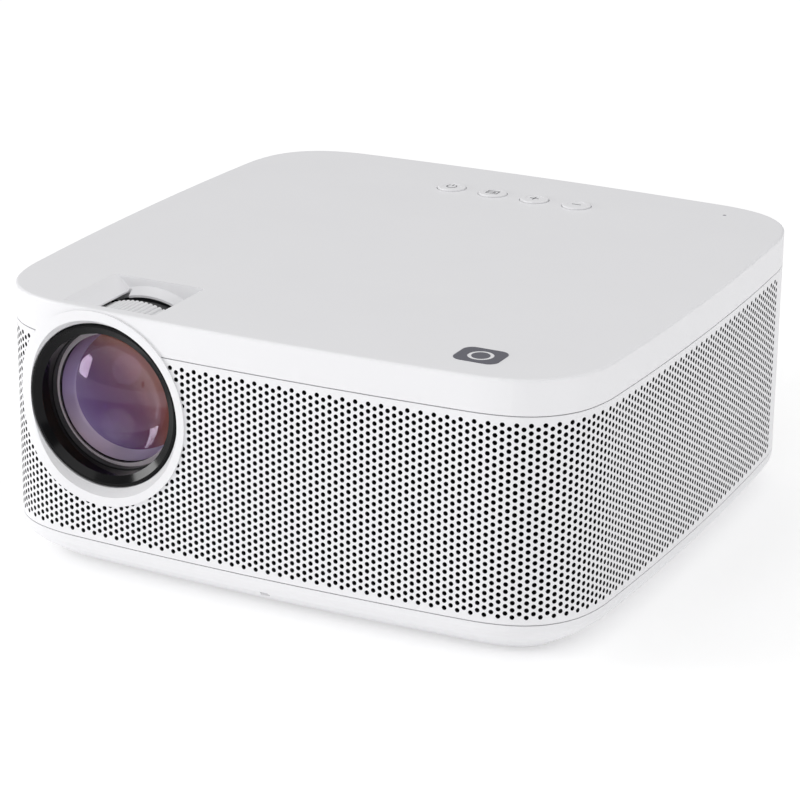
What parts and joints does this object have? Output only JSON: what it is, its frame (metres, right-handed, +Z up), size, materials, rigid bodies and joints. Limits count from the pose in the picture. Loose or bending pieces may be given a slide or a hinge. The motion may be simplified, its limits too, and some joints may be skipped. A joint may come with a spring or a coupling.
{
  "type": "home projector",
  "caption": "Compact square home projector with rounded corners, perforated side band, front lens with top focus ring recess, top keys, rear sockets and an elevating foot.",
  "frame": {"origin": "on the table under the middle of the object", "axes": "+Z up, the lens looks along -Y, +X is to the right seen from the lens side"},
  "size_m": [0.226, 0.225, 0.1002],
  "materials": {
    "white_shell": "fine satin texture",
    "white_ring": "satin",
    "slate_badge": "printed foil",
    "black_cloth": "open woven",
    "smoked_window": "smooth",
    "clear_light_pipe": "clear",
    "black_gloss": "polished",
    "black_plastic": "moulded",
    "coated_glass": "multi-coated",
    "clear_glass": "polished",
    "front_mirror": "front silvered",
    "steel": "plated",
    "brass": "turned",
    "aluminium": "extruded",
    "circuit_board": "solder mask",
    "rubber": "matt",
    "cone_paper": "matt"
  },
  "bodies": {
    "chassis": {"top_cover": "white_shell", "grille": "white_shell", "rear_panel": "white_shell", "base_tray": "white_shell", "ir_window": "smoked_window", "dust_cloth": "black_cloth", "lens_bezel": "white_shell", "lens_holder": "black_plastic", "top_badge": "slate_badge", "light_pipe": "clear_light_pipe", "status_led": "clear_light_pipe", "key_board": "circuit_board", "tact_switches": "black_plastic", "exhaust_fan_frame": "black_plastic", "blower_housing": "black_plastic", "foot_bush": "brass", "rubber_feet": "rubber", "mount_inserts": "brass", "case_screws": "steel", "engine_housing": "black_plastic", "engine_lid": "black_plastic", "fold_mirror": "front_mirror", "field_fresnel": "clear_glass", "heat_glass": "clear_glass", "collimator_fresnel": "clear_glass", "lcd_frame": "black_plastic", "lcd_panel": "clear_glass", "light_funnel": "black_plastic", "condenser_lens": "clear_glass", "led_module": "aluminium", "led_heat_sink": "aluminium", "power_supply_board": "circuit_board", "transformer": "steel", "capacitors": "black_plastic", "main_board": "circuit_board", "processor_heat_sink": "aluminium", "hdmi_sockets": "steel", "usb_sockets": "steel", "audio_jacks": "black_plastic", "power_inlet": "black_plastic", "speaker_frames": "black_plastic", "speaker_cones": "cone_paper"},
    "focus_ring_body": {"focus_ring": "white_ring", "focus_sleeve": "black_plastic"},
    "lens_group": {"lens_barrel": "black_gloss", "guide_pins": "steel", "front_glass": "coated_glass", "retaining_ring": "black_plastic", "middle_lens": "clear_glass", "rear_lens": "clear_glass"},
    "exhaust_rotor": {"exhaust_fan_rotor": "black_plastic"},
    "blower_rotor": {"blower_wheel": "black_plastic"},
    "foot_sole": {"foot_pad": "rubber"},
    "foot_leg": {"foot_screw": "black_plastic"},
    "power_button_body": {"power_button": "white_shell"},
    "source_button_body": {"source_button": "white_shell"},
    "volume_up_button_body": {"volume_up_button": "white_shell"},
    "volume_down_button_body": {"volume_down_button": "white_shell"}
  },
  "joints": [
    {"name": "focus_turn", "type": "hinge", "parent": "chassis", "child": "focus_ring_body", "pos_m": [-0.063, -0.088, 0.0642], "axis": [0, 1, 0], "range_deg": [-40.3, 40.3]},
    {"name": "focus_travel", "type": "slide", "parent": "chassis", "child": "lens_group", "axis": [0, -1, 0], "range_m": [-0.0035, 0.0035]},
    {"name": "exhaust_spin", "type": "hinge", "parent": "chassis", "child": "exhaust_rotor", "pos_m": [0.0975, 0.007, 0.051], "axis": [1, 0, 0], "continuous": true},
    {"name": "blower_spin", "type": "hinge", "parent": "chassis", "child": "blower_rotor", "pos_m": [-0.044, 0.084, 0.06], "axis": [0, 0, 1], "continuous": true},
    {"name": "foot_height", "type": "slide", "parent": "chassis", "child": "foot_sole", "axis": [0, 0, -1], "range_m": [0, 0.01501]},
    {"name": "foot_turn", "type": "hinge", "parent": "foot_sole", "child": "foot_leg", "pos_m": [0, -0.081, 0.01], "axis": [0, 0, 1], "range_deg": [0, 4320]},
    {"name": "power_press", "type": "slide", "parent": "chassis", "child": "power_button_body", "axis": [0, 0, -1], "range_m": [0, 0.0006], "stiffness_N_per_m": 300, "springref_m": -0.002},
    {"name": "source_press", "type": "slide", "parent": "chassis", "child": "source_button_body", "axis": [0, 0, -1], "range_m": [0, 0.0006], "stiffness_N_per_m": 300, "springref_m": -0.002},
    {"name": "volume_up_press", "type": "slide", "parent": "chassis", "child": "volume_up_button_body", "axis": [0, 0, -1], "range_m": [0, 0.0006], "stiffness_N_per_m": 300, "springref_m": -0.002},
    {"name": "volume_down_press", "type": "slide", "parent": "chassis", "child": "volume_down_button_body", "axis": [0, 0, -1], "range_m": [0, 0.0006], "stiffness_N_per_m": 300, "springref_m": -0.002}
  ],
  "couplings": [
    {"joint": "focus_turn", "follows": "focus_travel", "rad_per_m": 199.47},
    {"joint": "foot_height", "follows": "foot_turn", "m_per_rad": 0.00019894}
  ]
}
